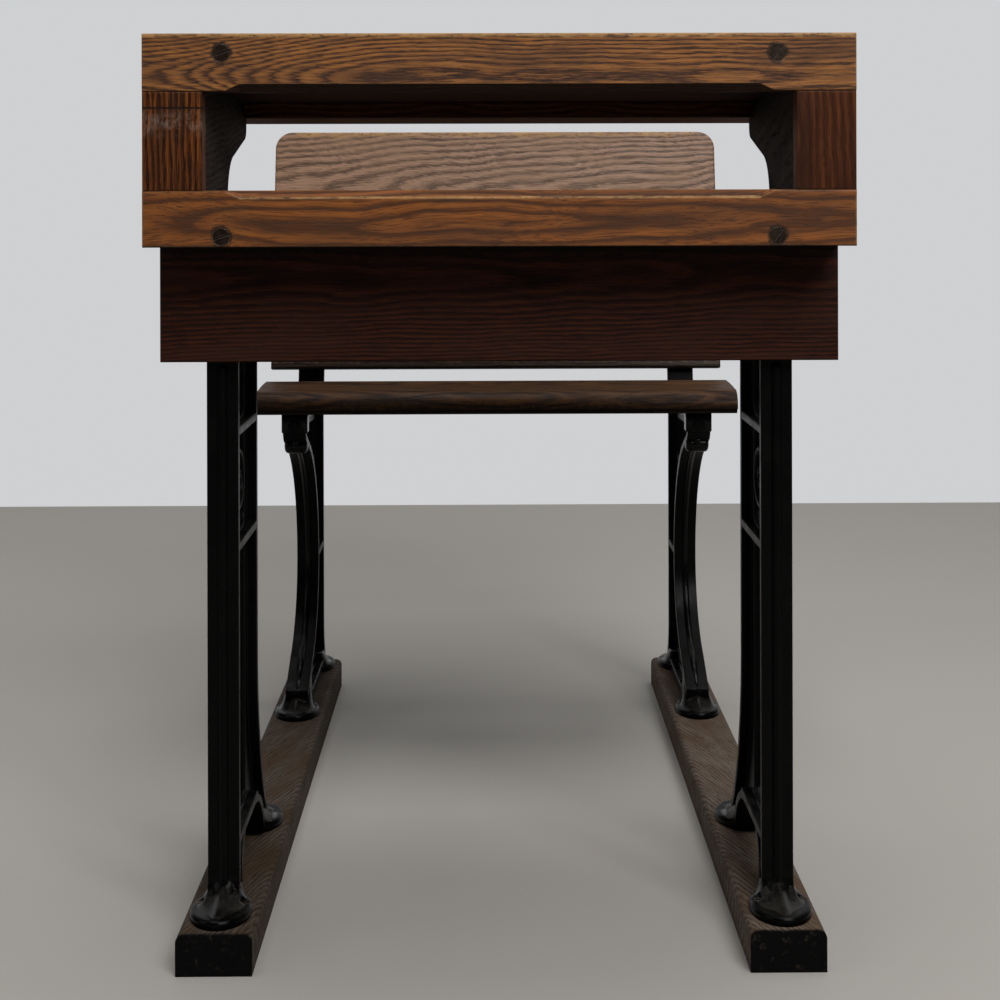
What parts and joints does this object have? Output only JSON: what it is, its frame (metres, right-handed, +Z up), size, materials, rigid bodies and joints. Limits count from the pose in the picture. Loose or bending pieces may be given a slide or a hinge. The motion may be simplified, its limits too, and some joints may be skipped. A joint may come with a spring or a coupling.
{
  "type": "school desk with lift lid",
  "caption": "Old oak school desk on cast-iron standards, with a hinged lid, a book shelf and an attached seat with a leaning back, on two wooden skids",
  "frame": {"origin": "centre of the footprint's bounding box, on the floor under the skids", "axes": "+X to the right seen from the front frame, +Y from the front frame to the seat back, +Z up"},
  "size_m": [0.6, 0.882, 0.8074],
  "materials": {
    "oak_front": "aged varnished oak, warm brown",
    "oak_inside": "old dark oak, dull",
    "oak_apron": "dark red-brown oak, dull varnish",
    "oak_seat": "worn grey-brown oak",
    "oak_skid": "weathered grey-brown oak",
    "cast_iron": "old black paint on cast iron",
    "brass": "dull aged brass",
    "inkwell_glaze": "glazed white ceramic",
    "hinge_steel": "darkened steel",
    "screw_steel": "darkened steel"
  },
  "bodies": {
    "desk_frame": {"apron_board": "oak_apron", "apron_screws": "screw_steel", "back_board_lower": "oak_seat", "back_board_upper": "oak_seat", "back_screws": "screw_steel", "book_shelf": "oak_inside", "bottom_rail": "oak_front", "cheek_left": "oak_inside", "cheek_right": "oak_inside", "cover_pivot_screw": "brass", "desk_standard_left": "cast_iron", "desk_standard_right": "cast_iron", "foot_screws_left": "screw_steel", "foot_screws_right": "screw_steel", "hinge_pin_left": "hinge_steel", "hinge_pin_right": "hinge_steel", "hinge_screws_strip": "hinge_steel", "hinge_strip_leaf_left": "hinge_steel", "hinge_strip_leaf_right": "hinge_steel", "inkwell": "inkwell_glaze", "lid_rest_rail": "oak_inside", "pen_strip": "oak_front", "rail_screws": "screw_steel", "seat_board": "oak_seat", "seat_screws": "screw_steel", "seat_standard_left": "cast_iron", "seat_standard_right": "cast_iron", "shelf_screws": "screw_steel", "skid_left": "oak_skid", "skid_right": "oak_skid", "stile_left": "oak_front", "stile_right": "oak_front", "top_rail": "oak_front"},
    "lid": {"hinge_lid_leaf_left": "hinge_steel", "hinge_lid_leaf_right": "hinge_steel", "hinge_screws_lid": "hinge_steel", "lid": "oak_front"},
    "inkwell_cover": {"inkwell_cover": "brass"}
  },
  "joints": [
    {"name": "lid_hinge", "type": "hinge", "parent": "desk_frame", "child": "lid", "pos_m": [0, -0.33611, 0.79664], "axis": [1, 0, 0], "range_deg": [0, 100]},
    {"name": "cover_pivot", "type": "hinge", "parent": "desk_frame", "child": "inkwell_cover", "pos_m": [0.1855, -0.3868, 0.79936], "axis": [0, 0.0732, 0.9973], "range_deg": [0, 150]}
  ]
}
